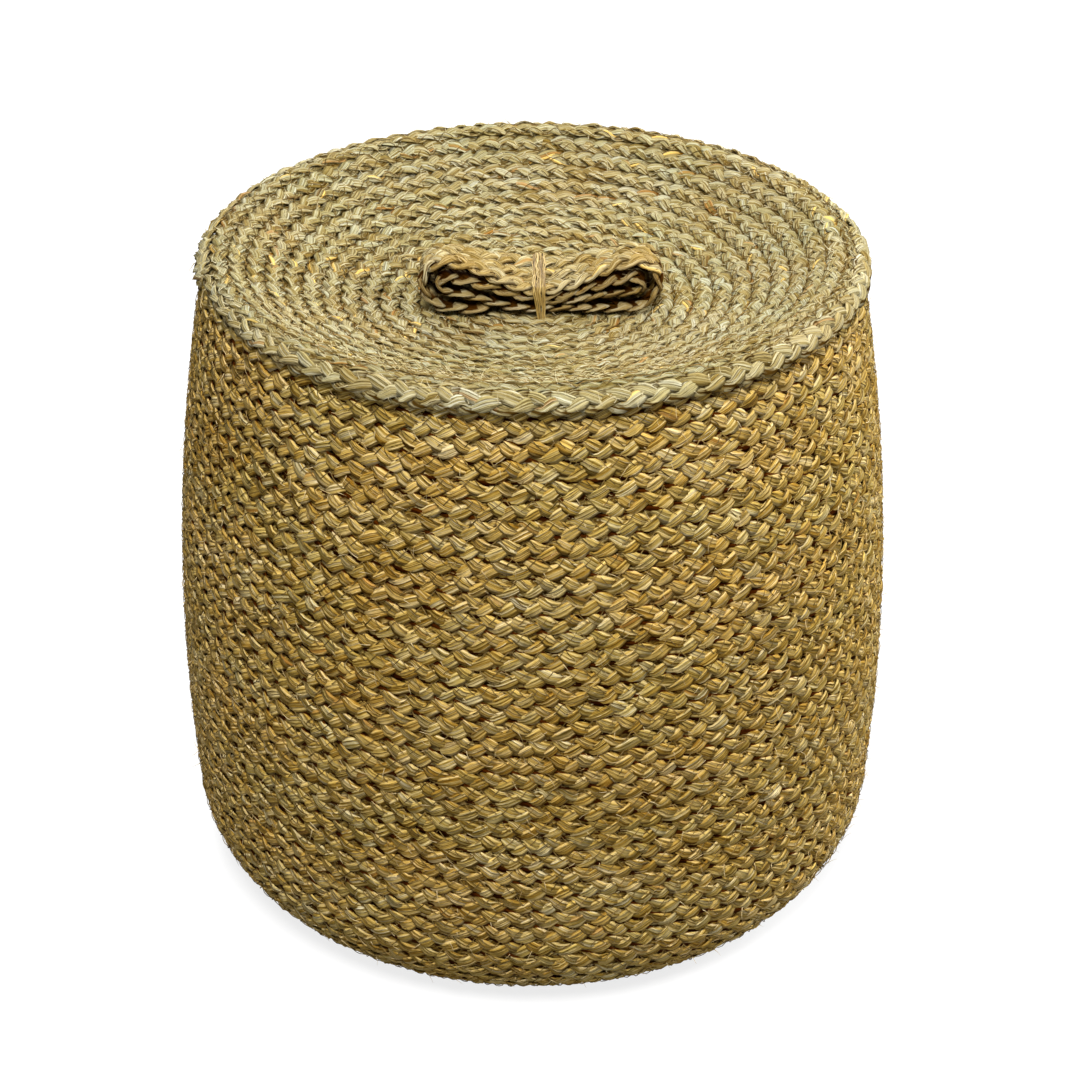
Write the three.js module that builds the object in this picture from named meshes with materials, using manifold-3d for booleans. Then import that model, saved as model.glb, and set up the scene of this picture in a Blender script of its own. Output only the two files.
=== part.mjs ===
// A round basket of plaited grass with a dished lid that lifts off.
// A flat plait is wound edge to edge in courses and sewn. The base is a flat spiral of it, which turns up
// at a round corner and climbs as the wall, from several lengths joined end to end.
// The lid is a second spiral with an edge course rolled down over the rim. Its handle is a flat hank
// of three braids, drawn in at the waist by a raffia tie that goes down through the lid.
// Millimetres, +Z up, with the middle of the underside at the origin and the handle along X.
import * as THREE from "three";
import { mergeVertices } from "three/addons/utils/BufferGeometryUtils.js";
import createManifold from "manifold-3d";

// The basket, measured on the outside.
const bellyRadius = 200;
const bellyHeight = 122;
const rimInset = 25; // by which the rim's radius is less than the belly's
const rimHeight = 366;
const cornerRadius = 54;
const courseWidth = 10;
const wallLengths = 9;

// The braid of the basket and lid.
const braidThickness = 6.5;
const seamGap = 0.5; // between neighbouring courses
const turnSteps = 20;
const tailWidth = 1.5; // where a tapered end stops

// The lid, with its roll measured at the middle of the braid.
const lidCourseWidth = 10.6;
const lidLengths = 2;
const dishDepth = 34;
const dishFlat = 45; // radius of the level middle
const rollRadius = 14;
const rollAngle = 62; // degrees by which the edge turns down from level
const edgeStart = 192.5; // degrees round the lid
const edgeSweep = 359.5;
const edgeTaper = 48;
const edgeStartWidth = 4.8;

// The handle.
const handleLength = 128;
const handleAside = 4.5; // by which it lies to the right of the middle
const handleBraids = ["front", "middle", "back"];
const handleBraidWidth = 15;
const handleThickness = 3;
const layerGap = 0.5; // between the layers at the waist
const frontFanStep = 8.8; // between the layers at the loops, middle to middle
const backFanStep = 6.1;
const looseEnd = 29; // from the waist to the end of the lowest layer

// The raffia tie.
const raffiaWidth = 5;
const raffiaThickness = 1.4;
const knotLength = 10;
const knotRadius = 3;

const clearance = 0.3; // between pieces that touch
const halfBraid = braidThickness / 2;

// The basket's meridian, from the middle of the base to the rim, through the middle of the braid.
const bellyMiddle = bellyRadius - halfBraid;
const rimMiddle = bellyMiddle - rimInset;
const rimRise = rimHeight - bellyHeight;
const wallArcRadius = (rimRise ** 2 + rimInset ** 2) / (2 * rimInset);
const wallCentre = bellyMiddle - wallArcRadius;
const cornerMiddle = cornerRadius - halfBraid;
const cornerDrop = bellyHeight - cornerRadius;
const baseRadius = wallCentre + Math.sqrt((wallArcRadius - cornerMiddle) ** 2 - cornerDrop ** 2);
const cornerEnd = -Math.asin(cornerDrop / (wallArcRadius - cornerMiddle));
const basketPath = new THREE.Path();
basketPath.moveTo(0, halfBraid);
basketPath.lineTo(baseRadius, halfBraid);
basketPath.absarc(baseRadius, cornerRadius, cornerMiddle, -Math.PI / 2, cornerEnd, false);
basketPath.absarc(wallCentre, bellyHeight, wallArcRadius, cornerEnd, Math.asin(rimRise / wallArcRadius), false);
const basket = { path: basketPath, length: basketPath.getLength(), facing: 1, courseWidth };

// The lid's meridian: a bowl with a level middle, then the roll, whose underside rests on the rim below the
// middle of the edge course.
const rollEnd = THREE.MathUtils.degToRad(rollAngle);
const seatAngle = rollEnd - lidCourseWidth / 2 / rollRadius;
const seatRadius = rollRadius - halfBraid - clearance;
const rollCentre = rimMiddle - seatRadius * Math.sin(seatAngle);
const rollHeight = rimHeight - seatRadius * Math.cos(seatAngle);
const bowlBelowRoll = rollRadius - dishDepth;
const slopeReach = rollCentre - dishFlat;
const bowlRadius = (slopeReach ** 2 + bowlBelowRoll ** 2 - rollRadius ** 2) / (2 * dishDepth);
const bowlHeight = rollHeight + bowlBelowRoll;
const bowlSlope = Math.asin(slopeReach / (bowlRadius + rollRadius));
const lidPath = new THREE.Path();
lidPath.moveTo(0, bowlHeight);
lidPath.lineTo(dishFlat, bowlHeight);
lidPath.absarc(dishFlat, bowlHeight + bowlRadius, bowlRadius, -Math.PI / 2, bowlSlope - Math.PI / 2, false);
lidPath.absarc(rollCentre, rollHeight, rollRadius, bowlSlope + Math.PI / 2, Math.PI / 2 - rollEnd, true);
const lid = { path: lidPath, length: lidPath.getLength(), facing: -1, courseWidth: lidCourseWidth };
const edgeInner = lid.length - lidCourseWidth;

// A point so far along a round surface's meridian and out from it, at an angle round the axis.
function surfacePoint(surface, along, out, angle) {
  const share = along / surface.length;
  const point = surface.path.getPoint(share);
  const tangent = surface.path.getTangent(share);
  const radius = point.x + surface.facing * tangent.y * out;
  const height = point.y - surface.facing * tangent.x * out;
  return new THREE.Vector3(radius * Math.cos(angle), radius * Math.sin(angle), height);
}

// The corners of a braid's section between two places on the meridian, flat on its outer face.
// A narrowed section is as much thinner.
function braidSection(surface, angle, low, high) {
  const inset = seamGap / 2;
  const out = halfBraid * (high - low) / surface.courseWidth;
  const corners = [];
  corners.push(surfacePoint(surface, low + inset, 0, angle));
  corners.push(surfacePoint(surface, THREE.MathUtils.lerp(low, high, 0.25), out, angle));
  corners.push(surfacePoint(surface, THREE.MathUtils.lerp(low, high, 0.75), out, angle));
  corners.push(surfacePoint(surface, high - inset, 0, angle));
  corners.push(surfacePoint(surface, THREE.MathUtils.lerp(low, high, 0.5), -out, angle));
  return corners;
}

// A closed solid through sections that each have the same number of corners.
function sweptSolid(sections, inward) {
  const sides = sections[0].length;
  const corners = sections.flat();
  const faces = [];
  const last = corners.length - sides;
  for (let start = 0; start < last; start += sides) {
    for (let side = 0; side < sides; side += 1) {
      const here = start + side;
      const next = start + (side + 1) % sides;
      faces.push([here, next, next + sides], [here, next + sides, here + sides]);
    }
  }
  for (let side = 1; side < sides - 1; side += 1) {
    faces.push([0, side + 1, side], [last, last + side, last + side + 1]);
  }
  const geometry = new THREE.BufferGeometry();
  geometry.setFromPoints(corners);
  geometry.setIndex(faces.flatMap((face) => (inward ? face.reverse() : face)));
  return geometry;
}

// The least gap between each section of a coil and the one a turn later.
function leastTurnGap(sections) {
  let least = Infinity;
  for (let index = 0; index + turnSteps + 1 < sections.length; index += 1) {
    const here = sections[index][3];
    const above = sections[index + turnSteps][0];
    const hereMiddle = here.clone().lerp(sections[index + 1][3], 0.5);
    const aboveMiddle = above.clone().lerp(sections[index + turnSteps + 1][0], 0.5);
    least = Math.min(least, here.distanceTo(above), hereMiddle.distanceTo(aboveMiddle));
  }
  return least;
}

// A length of a spiral that starts at firstLow and stays below highest, from one step to another.
// Its ends stand back from the lengths that it joins.
function coilLength(name, surface, firstLow, highest, fromStep, toStep) {
  const sections = [];
  for (let step = fromStep; step <= toStep; step += 1) {
    const low = firstLow + surface.courseWidth * step / turnSteps;
    const high = Math.min(low + surface.courseWidth, highest);
    const radius = surface.path.getPoint(low / surface.length).x;
    const standBack = clearance / 2 / radius * (Number(step === fromStep) - Number(step === toStep));
    sections.push(braidSection(surface, 2 * Math.PI * step / turnSteps + standBack, low, high));
  }
  console.log(`${name}: least gap between turns ${leastTurnGap(sections).toFixed(2)} mm`);
  return sweptSolid(sections, surface.facing > 0);
}

// The last step of a spiral whose last turn thins out below highest.
function lastCoilStep(surface, firstLow, highest) {
  return Math.floor((highest - tailWidth - firstLow) / surface.courseWidth * turnSteps);
}

// The height of the lid's upper face at a distance from the axis, in its bowl.
function lidTop(distance) {
  const faceRadius = bowlRadius - halfBraid;
  const beyondFlat = Math.max(0, distance - dishFlat);
  return bowlHeight + bowlRadius - Math.sqrt(faceRadius ** 2 - beyondFlat ** 2);
}

const group = new THREE.Group();

function addMesh(name, geometry, colour) {
  const material = new THREE.MeshStandardMaterial({ color: colour, roughness: 0.85, metalness: 0 });
  const mesh = new THREE.Mesh(geometry, material);
  mesh.name = name;
  group.add(mesh);
}

// The base, a spiral that starts beside the axis and ends where the corner begins.
const wallColour = 0xa8864e;
const basketStart = courseWidth * 0.2;
const baseSteps = Math.floor((baseRadius - basketStart) / courseWidth * turnSteps);
addMesh("base_braid", coilLength("base_braid", basket, basketStart, basket.length, 0, baseSteps), wallColour);

// The wall, whose last turn thins out so that the rim ends level.
const wallSteps = lastCoilStep(basket, basketStart, basket.length) - baseSteps;
for (let index = 0; index < wallLengths; index += 1) {
  const name = `wall_braid_${index + 1}`;
  const fromStep = baseSteps + Math.round(wallSteps * index / wallLengths);
  const toStep = baseSteps + Math.round(wallSteps * (index + 1) / wallLengths);
  addMesh(name, coilLength(name, basket, basketStart, basket.length, fromStep, toStep), wallColour);
}

// The lid's spiral up to its edge course, with the slots that the tie goes through.
const lidColour = 0xc2b184;
const lidStart = lidCourseWidth * 0.2;
const lidSteps = lastCoilStep(lid, lidStart, edgeInner);
const handleWidth = handleBraids.length * (handleBraidWidth + clearance) - clearance;
const legMiddle = handleWidth / 2 + clearance + raffiaThickness / 2;
const slotWidth = raffiaWidth + 2 * clearance;
const slotThickness = raffiaThickness + 2 * clearance;
const wasm = await createManifold();
wasm.setup();

function toManifold(geometry) {
  const bare = geometry.clone();
  bare.deleteAttribute("normal");
  bare.deleteAttribute("uv");
  const merged = mergeVertices(bare, 1e-4);
  const mesh = new wasm.Mesh({
    numProp: 3,
    vertProperties: new Float32Array(merged.attributes.position.array),
    triVerts: new Uint32Array(merged.index.array),
  });
  return new wasm.Manifold(mesh);
}

function fromManifold(manifold) {
  const mesh = manifold.getMesh();
  const geometry = new THREE.BufferGeometry();
  geometry.setAttribute("position", new THREE.BufferAttribute(mesh.vertProperties, 3));
  geometry.setIndex(new THREE.BufferAttribute(mesh.triVerts, 1));
  return geometry;
}

function withoutSlots(geometry) {
  let solid = toManifold(geometry);
  for (const side of [-1, 1]) {
    const slot = new THREE.BoxGeometry(slotWidth, slotThickness, dishDepth);
    slot.translate(handleAside, side * legMiddle, bowlHeight);
    solid = solid.subtract(toManifold(slot));
  }
  return fromManifold(solid);
}

for (let index = 0; index < lidLengths; index += 1) {
  const name = `lid_braid_${index + 1}`;
  const fromStep = Math.round(lidSteps * index / lidLengths);
  const toStep = Math.round(lidSteps * (index + 1) / lidLengths);
  addMesh(name, withoutSlots(coilLength(name, lid, lidStart, edgeInner, fromStep, toStep)), lidColour);
}

// The edge course, level round the lid. It starts from a taper and stops bluntly before it meets itself.
// Its steps lie at the same angles as those of the spirals.
const stepDegrees = 360 / turnSteps;
const edgeEnd = edgeStart + edgeSweep;
const edgeAngles = [edgeStart];
for (let step = Math.floor(edgeStart / stepDegrees) + 1; step * stepDegrees < edgeEnd; step += 1) {
  edgeAngles.push(step * stepDegrees);
}
edgeAngles.push(edgeEnd);
const edgeSections = edgeAngles.map((degrees) => {
  const grown = Math.min(1, (degrees - edgeStart) / edgeTaper);
  const width = THREE.MathUtils.lerp(edgeStartWidth, lidCourseWidth, grown);
  return braidSection(lid, THREE.MathUtils.degToRad(degrees), edgeInner, edgeInner + width);
});
addMesh("lid_edge_braid", sweptSolid(edgeSections, false), lidColour);

// The handle's braids, each wound in four layers that stand a waist step apart at the tie and fan out to the
// loops, most of all at the front. The lowest layer follows the lid. Their lines are seen from the front.
const waistStep = handleThickness + layerGap;
const waistHalf = raffiaWidth / 2 + clearance;

function handlePoint(across, height) {
  const rest = lidTop(Math.hypot(handleAside + across, handleWidth / 2)) + clearance + handleThickness / 2;
  return new THREE.Vector2(handleAside + across, rest + height);
}

function handleLine(fanStep) {
  const loopCentre = handleLength / 2 - handleThickness / 2 - 1.5 * fanStep;
  const fanned = (across) => THREE.MathUtils.smoothstep(Math.abs(across), waistHalf, loopCentre);

  // A run along a layer between two places, without its last point.
  function layerRun(layer, from, to, settle = () => 1) {
    const runSteps = Math.ceil(Math.abs(to - from) / (loopCentre / 5));
    const points = [];
    for (let step = 0; step < runSteps; step += 1) {
      const across = THREE.MathUtils.lerp(from, to, step / runSteps);
      const height = layer * THREE.MathUtils.lerp(waistStep, fanStep, fanned(across));
      points.push(handlePoint(across, height * settle(across)));
    }
    return points;
  }

  // The turn at the end of a loop, upward or downward, without its last point.
  function loopTurn(side, radius, upward) {
    const turnPoints = 7;
    const points = [];
    for (let step = 0; step < turnPoints; step += 1) {
      const angle = (step / turnPoints - 0.5) * Math.PI * upward;
      const across = side * (loopCentre + radius * Math.cos(angle));
      points.push(handlePoint(across, 1.5 * fanStep + radius * Math.sin(angle)));
    }
    return points;
  }

  const innerTurn = 0.5 * fanStep;
  const outerTurn = 1.5 * fanStep;
  return [
    ...layerRun(1, -waistHalf, waistHalf),
    ...layerRun(1, waistHalf, loopCentre),
    ...loopTurn(1, innerTurn, 1),
    ...layerRun(2, loopCentre, waistHalf),
    ...layerRun(2, waistHalf, -waistHalf),
    ...layerRun(2, -waistHalf, -loopCentre),
    ...loopTurn(-1, innerTurn, -1),
    ...layerRun(1, -loopCentre, -waistHalf, fanned),
    ...layerRun(0, -waistHalf, loopCentre),
    ...loopTurn(1, outerTurn, 1),
    ...layerRun(3, loopCentre, waistHalf),
    ...layerRun(3, waistHalf, -waistHalf),
    ...layerRun(3, -waistHalf, -loopCentre),
    ...loopTurn(-1, outerTurn, -1),
    ...layerRun(0, -loopCentre, -looseEnd),
    handlePoint(-looseEnd, 0),
  ];
}

// A line without the points inside its straight stretches, where it turns by less than a thousandth.
function bendsOnly(line) {
  return line.filter((point, index) => {
    if (index === 0 || index === line.length - 1) return true;
    const before = point.clone().sub(line[index - 1]).normalize();
    const after = line[index + 1].clone().sub(point).normalize();
    return Math.abs(before.cross(after)) > 0.001;
  });
}

// The outline at half a thickness on both sides of a line.
function bandOutline(line) {
  const sides = [[], []];
  line.forEach((point, index) => {
    const before = line[Math.max(index - 1, 0)];
    const after = line[Math.min(index + 1, line.length - 1)];
    const along = after.clone().sub(before).normalize();
    const aside = new THREE.Vector2(-along.y, along.x).multiplyScalar(handleThickness / 2);
    sides[0].push(point.clone().add(aside));
    sides[1].push(point.clone().sub(aside));
  });
  return new THREE.Shape([...sides[0], ...sides[1].reverse()]);
}

function leastLayerGap(line) {
  let least = Infinity;
  line.forEach((point, index) => {
    for (const other of line.slice(index + 4)) {
      least = Math.min(least, point.distanceTo(other) - handleThickness);
    }
  });
  return least;
}

handleBraids.forEach((place, index) => {
  const fanStep = THREE.MathUtils.lerp(frontFanStep, backFanStep, index / (handleBraids.length - 1));
  const line = handleLine(fanStep);
  console.log(`handle_braid_${place}: least gap between layers ${leastLayerGap(line).toFixed(2)} mm`);
  const outline = bandOutline(bendsOnly(line));
  const braid = new THREE.ExtrudeGeometry(outline, { depth: handleBraidWidth, bevelEnabled: false });
  braid.rotateX(Math.PI / 2);
  braid.translate(0, handleBraidWidth - handleWidth / 2 + index * (handleBraidWidth + clearance), 0);
  addMesh(`handle_braid_${place}`, braid, lidColour);
});

// The tie, a flat loop over the handle's waist and under the lid.
const raffiaColour = 0xc9a86a;
const tieInside = handleWidth / 2 + clearance;
const tieOutside = tieInside + raffiaThickness;
const waistTop = handlePoint(0, 3 * waistStep).y + handleThickness / 2 + clearance;
const lidUnderside = bowlHeight - halfBraid - clearance;
const tieOutline = new THREE.Shape();
tieOutline.moveTo(-tieOutside, lidUnderside - raffiaThickness);
tieOutline.lineTo(tieOutside, lidUnderside - raffiaThickness);
tieOutline.lineTo(tieOutside, waistTop);
tieOutline.lineTo(tieInside, waistTop + raffiaThickness);
tieOutline.lineTo(-tieInside, waistTop + raffiaThickness);
tieOutline.lineTo(-tieOutside, waistTop);
const tieHole = new THREE.Path();
tieHole.moveTo(-tieInside, lidUnderside);
tieHole.lineTo(-tieInside, waistTop);
tieHole.lineTo(tieInside, waistTop);
tieHole.lineTo(tieInside, lidUnderside);
tieOutline.holes.push(tieHole);
const tie = new THREE.ExtrudeGeometry(tieOutline, { depth: raffiaWidth, bevelEnabled: false });
tie.translate(0, 0, -raffiaWidth / 2);
tie.rotateX(Math.PI / 2);
tie.rotateZ(Math.PI / 2);
tie.translate(handleAside, 0, 0);
addMesh("handle_tie", tie, raffiaColour);

// The knot below the lid, where the ends of the tie meet.
const knotProfile = [
  new THREE.Vector2(0, -knotLength / 2),
  new THREE.Vector2(knotRadius * 0.6, -knotLength / 2),
  new THREE.Vector2(knotRadius, -knotLength / 4),
  new THREE.Vector2(knotRadius * 0.8, 0),
  new THREE.Vector2(knotRadius, knotLength / 4),
  new THREE.Vector2(knotRadius * 0.6, knotLength / 2),
  new THREE.Vector2(0, knotLength / 2),
];
const knot = new THREE.LatheGeometry(knotProfile, 12);
knot.translate(handleAside, 0, lidUnderside - raffiaThickness - clearance - knotRadius);
addMesh("tie_knot", knot, raffiaColour);

export default group;
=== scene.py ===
import math

import bpy
import numpy as np
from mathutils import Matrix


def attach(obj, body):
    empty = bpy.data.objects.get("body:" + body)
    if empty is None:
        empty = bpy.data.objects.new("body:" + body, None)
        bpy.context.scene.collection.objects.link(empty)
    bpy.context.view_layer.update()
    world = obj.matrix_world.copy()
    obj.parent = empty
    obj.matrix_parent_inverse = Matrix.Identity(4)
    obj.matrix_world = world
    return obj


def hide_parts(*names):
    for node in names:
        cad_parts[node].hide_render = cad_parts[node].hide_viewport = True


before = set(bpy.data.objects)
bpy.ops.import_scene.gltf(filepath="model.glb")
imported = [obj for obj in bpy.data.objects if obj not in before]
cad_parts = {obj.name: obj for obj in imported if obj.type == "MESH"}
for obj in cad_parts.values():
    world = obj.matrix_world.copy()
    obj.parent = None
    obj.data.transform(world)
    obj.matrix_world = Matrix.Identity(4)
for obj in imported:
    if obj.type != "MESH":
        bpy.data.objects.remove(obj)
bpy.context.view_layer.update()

# The base is one length of flat plait, three strands of dry grass leaf, wound edge to edge in a flat spiral.
# It is sewn course to course with thin thread, and turns up into the wall where the round corner begins.
COURSE_WIDTH = 0.010
HALF_BRAID = 0.00325
TURN_STEPS = 20
STEP_POINTS = 60
EYE_SHARE = 0.2
BELLY_RADIUS = 0.200
BELLY_HEIGHT = 0.122
RIM_INSET = 0.025
RIM_HEIGHT = 0.366
CORNER_RADIUS = 0.054
TAIL_WIDTH = 0.0015

belly_middle = BELLY_RADIUS - HALF_BRAID
rim_middle = belly_middle - RIM_INSET
rim_rise = RIM_HEIGHT - BELLY_HEIGHT
wall_arc = (rim_rise**2 + RIM_INSET**2) / (2 * RIM_INSET)
wall_centre = belly_middle - wall_arc
corner_middle = CORNER_RADIUS - HALF_BRAID
corner_drop = BELLY_HEIGHT - CORNER_RADIUS
base_radius = wall_centre + math.sqrt((wall_arc - corner_middle) ** 2 - corner_drop**2)
corner_end = -math.asin(corner_drop / (wall_arc - corner_middle))
corner_length = corner_middle * (corner_end + math.pi / 2)
wall_length = wall_arc * (math.asin(rim_rise / wall_arc) - corner_end)
basket_length = base_radius + corner_length + wall_length


def basket_surface(along):
    """Radius, height and outward direction of the basket, so far along from its middle to its rim."""
    corner = (along - base_radius) / corner_middle - math.pi / 2
    wall = (along - base_radius - corner_length) / wall_arc + corner_end
    zones = [along < base_radius, along < base_radius + corner_length]
    lean = np.select(zones, [np.full_like(along, -math.pi / 2), corner], wall)
    corner_reach = base_radius + corner_middle * np.cos(lean)
    corner_rise = CORNER_RADIUS + corner_middle * np.sin(lean)
    radius = np.select(zones, [along, corner_reach], wall_centre + wall_arc * np.cos(lean))
    height = np.select(zones, [HALF_BRAID, corner_rise], BELLY_HEIGHT + wall_arc * np.sin(lean))
    return radius, height, np.cos(lean), np.sin(lean)


def round_course(surface, angle, low, high, full_width):
    """Places, directions and fullness of a course laid round a surface between two edges."""
    radius, height, out_radial, out_height = surface((low + high) / 2)
    around = np.stack([np.cos(angle), np.sin(angle)], 1)
    return {
        "place": np.column_stack([around * radius[:, None], height]),
        "out": np.column_stack([around * out_radial[:, None], out_height]),
        "across": np.column_stack([-around * out_height[:, None], out_radial]),
        "fullness": (high - low) / full_width,
    }


def spiral_course(surface, start, width, highest, from_step, to_step):
    """A course wound outwards from one step of a turn to another, thinning out below highest."""
    step = np.linspace(from_step, to_step, STEP_POINTS * (to_step - from_step) + 1)
    low = start + width * step / TURN_STEPS
    high = np.minimum(low + width, highest)
    return round_course(surface, 2 * math.pi * step / TURN_STEPS, low, high, width)


def lengths(from_step, to_step, count):
    """The number, first step and last step of each of the lengths that share out a winding."""
    ends = [from_step + round((to_step - from_step) * index / count) for index in range(count + 1)]
    return zip(range(1, count + 1), ends, ends[1:])


def laid_lines(name, courses, spacing, reached=0.0):
    """Lines of evenly spaced points that carry their courses' directions and the length laid so far."""
    chain, columns = [], {part: [] for part in (*courses[0], "along")}
    for course in courses:
        gaps = np.linalg.norm(np.diff(course["place"], axis=0), axis=1)
        measured = np.concatenate([[0], np.cumsum(gaps)])
        count = max(2, round(measured[-1] / spacing) + 1)
        places = np.linspace(0, measured[-1], count)
        first = sum(len(part) for part in columns["along"])
        chain += [(first + index, first + index + 1) for index in range(count - 1)]
        for part, values in course.items():
            flat = values.reshape(len(measured), -1)
            columns[part].append(np.stack([np.interp(places, measured, column) for column in flat.T], 1))
        columns["along"].append(places[:, None] + reached)
        reached += measured[-1]
    line = bpy.data.meshes.new(name)
    line.from_pydata(np.concatenate(columns.pop("place")), chain, [])
    for part, values in columns.items():
        values = np.concatenate(values).astype(np.float32)
        kind, field = ("FLOAT_VECTOR", "vector") if values.shape[1] == 3 else ("FLOAT", "value")
        line.attributes.new(part, kind, "POINT").data.foreach_set(field, values.ravel())
    laid = bpy.data.objects.new(name, line)
    bpy.context.scene.collection.objects.link(laid)
    return laid, reached


def add_node(tree, kind, inputs=None, **options):
    """A node with its options set and its sockets filled with values or with other nodes' outputs."""
    node = tree.nodes.new(kind)
    for option, value in options.items():
        setattr(node, option, value)
    for socket, value in (inputs or {}).items():
        if isinstance(value, bpy.types.NodeSocket):
            tree.links.new(value, node.inputs[socket])
        else:
            node.inputs[socket].default_value = value
    return node


def number(tree, operation, *values):
    return add_node(tree, "ShaderNodeMath", dict(enumerate(values)), operation=operation).outputs[0]


def vector(tree, operation, *values):
    return add_node(tree, "ShaderNodeVectorMath", dict(enumerate(values)), operation=operation).outputs[0]


def product(tree, first, *others):
    for other in others:
        first = number(tree, "MULTIPLY", first, other)
    return first


def total(tree, first, *others):
    for other in others:
        first = number(tree, "ADD", first, other)
    return first


def moved(tree, first, *others):
    for other in others:
        first = vector(tree, "ADD", first, other)
    return first


def scaled(tree, direction, amount):
    inputs = {"Vector": direction, "Scale": amount}
    return add_node(tree, "ShaderNodeVectorMath", inputs, operation="SCALE").outputs[0]


def combined(tree, x, y, z):
    return add_node(tree, "ShaderNodeCombineXYZ", {"X": x, "Y": y, "Z": z}).outputs[0]


def separated(tree, place):
    return add_node(tree, "ShaderNodeSeparateXYZ", {0: place}).outputs


def ranged(tree, value, low, high, least=0.0, most=1.0, **options):
    """A value's place between low and high, as a number from least to most."""
    inputs = {"Value": value, "From Min": low, "From Max": high, "To Min": least, "To Max": most}
    return add_node(tree, "ShaderNodeMapRange", inputs, **options).outputs[0]


def wander(tree, place):
    """Smooth random numbers and vectors about zero, which change over a unit of place."""
    noise = add_node(tree, "ShaderNodeTexNoise", {"Vector": place, "Scale": 1.0, "Detail": 1.0})
    drift = vector(tree, "SUBTRACT", noise.outputs["Color"], (0.5, 0.5, 0.5))
    return number(tree, "SUBTRACT", noise.outputs["Fac"], 0.5), drift


def stored(tree, name, kind="FLOAT"):
    node = add_node(tree, "GeometryNodeInputNamedAttribute", {"Name": name}, data_type=kind)
    return node.outputs["Attribute"]


def stored_vector(tree, name):
    return stored(tree, name, "FLOAT_VECTOR")


def store(tree, geometry, name, value, kind="FLOAT", domain="POINT"):
    inputs = {"Geometry": geometry, "Name": name, "Value": value}
    node = add_node(tree, "GeometryNodeStoreNamedAttribute", inputs, data_type=kind, domain=domain)
    return node.outputs[0]


def new_tree(name, sizes):
    """An empty tree with a line to follow, named sizes and a material going in, and a mesh coming out."""
    tree = bpy.data.node_groups.new(name, "GeometryNodeTree")
    tree.is_modifier = True
    tree.interface.new_socket("Line", in_out="INPUT", socket_type="NodeSocketGeometry")
    for size, usual in sizes.items():
        tree.interface.new_socket(size, in_out="INPUT", socket_type="NodeSocketFloat").default_value = usual
    tree.interface.new_socket("Finish", in_out="INPUT", socket_type="NodeSocketMaterial")
    tree.interface.new_socket("Mesh", in_out="OUTPUT", socket_type="NodeSocketGeometry")
    return tree, tree.nodes.new("NodeGroupInput").outputs


def as_curve(tree, given):
    return add_node(tree, "GeometryNodeMeshToCurve", {"Mesh": given["Line"]}).outputs[0]


def shifted(tree, geometry, offset):
    return add_node(tree, "GeometryNodeSetPosition", {"Geometry": geometry, "Offset": offset}).outputs[0]


def finish_tree(tree, mesh, finish):
    smooth = add_node(tree, "GeometryNodeSetShadeSmooth", {"Geometry": mesh}).outputs[0]
    real = add_node(tree, "GeometryNodeRealizeInstances", {"Geometry": smooth}).outputs[0]
    dressed = add_node(tree, "GeometryNodeSetMaterial", {"Geometry": real, "Material": finish}).outputs[0]
    add_node(tree, "NodeGroupOutput", {"Mesh": dressed})


def lying_flat(tree):
    """The sideways and outward directions of a strip that lies against its course, square to its own run."""
    tangent = tree.nodes.new("GeometryNodeInputTangent").outputs[0]
    sideways = vector(tree, "CROSS_PRODUCT", stored_vector(tree, "out"), tangent)
    level = vector(tree, "NORMALIZE", sideways)
    return level, vector(tree, "CROSS_PRODUCT", tangent, level)


def swept(tree, curve, level, facing, section, half_width, half_thickness):
    """A strip with a section along a curve. A section's point has its place across and out, and a mark."""
    centre = tree.nodes.new("GeometryNodeInputPosition").outputs[0]
    for part, value in (("centre", centre), ("level", level), ("facing", facing)):
        curve = store(tree, curve, part, value, "FLOAT_VECTOR")
    ring = add_node(
        tree, "GeometryNodeCurvePrimitiveCircle", {"Resolution": len(section), "Radius": 0.001}
    ).outputs[0]
    ring_number = tree.nodes.new("GeometryNodeInputIndex").outputs[0]
    points = add_node(tree, "GeometryNodeIndexSwitch", {"Index": ring_number}, data_type="VECTOR")
    for _ in section[len(points.index_switch_items):]:
        points.index_switch_items.new()
    for index, point in enumerate(section):
        points.inputs[index + 1].default_value = point
    ring = store(tree, ring, "corner", points.outputs[0], "FLOAT_VECTOR")
    ring = store(tree, ring, "turn", number(tree, "DIVIDE", ring_number, len(section)))
    strip = add_node(
        tree, "GeometryNodeCurveToMesh", {"Curve": curve, "Profile Curve": ring, "Fill Caps": True}
    ).outputs[0]
    corner = separated(tree, stored_vector(tree, "corner"))
    aside = scaled(tree, stored_vector(tree, "level"), product(tree, corner["X"], half_width))
    raised = scaled(tree, stored_vector(tree, "facing"), product(tree, corner["Y"], half_thickness))
    place = moved(tree, stored_vector(tree, "centre"), aside, raised)
    return add_node(tree, "GeometryNodeSetPosition", {"Geometry": strip, "Position": place}).outputs[0]


LAYING_MARKS = "out across fullness shelter along strand breadth centre level facing corner turn".split()


def grown(laid, tree, finish, body, slot, **sizes):
    """The piece that a tree makes on a laid line, in place of the line, riding on a body."""
    modifier = laid.modifiers.new(tree.name, "NODES")
    modifier.node_group = tree
    sockets = {item.name: item.identifier for item in tree.interface.items_tree if item.in_out == "INPUT"}
    modifier[sockets["Finish"]] = finish
    for size, value in sizes.items():
        modifier[sockets[size.replace("_", " ").capitalize()]] = value
    bpy.context.view_layer.update()
    evaluated = laid.evaluated_get(bpy.context.evaluated_depsgraph_get())
    mesh = bpy.data.meshes.new_from_object(evaluated)
    laid.modifiers.remove(modifier)
    line = laid.data
    laid.data = mesh
    bpy.data.meshes.remove(line)
    mesh.name = laid.name
    for mark in LAYING_MARKS:
        if mark in mesh.attributes:
            mesh.attributes.remove(mesh.attributes[mark])
    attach(laid, body)
    return laid


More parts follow.
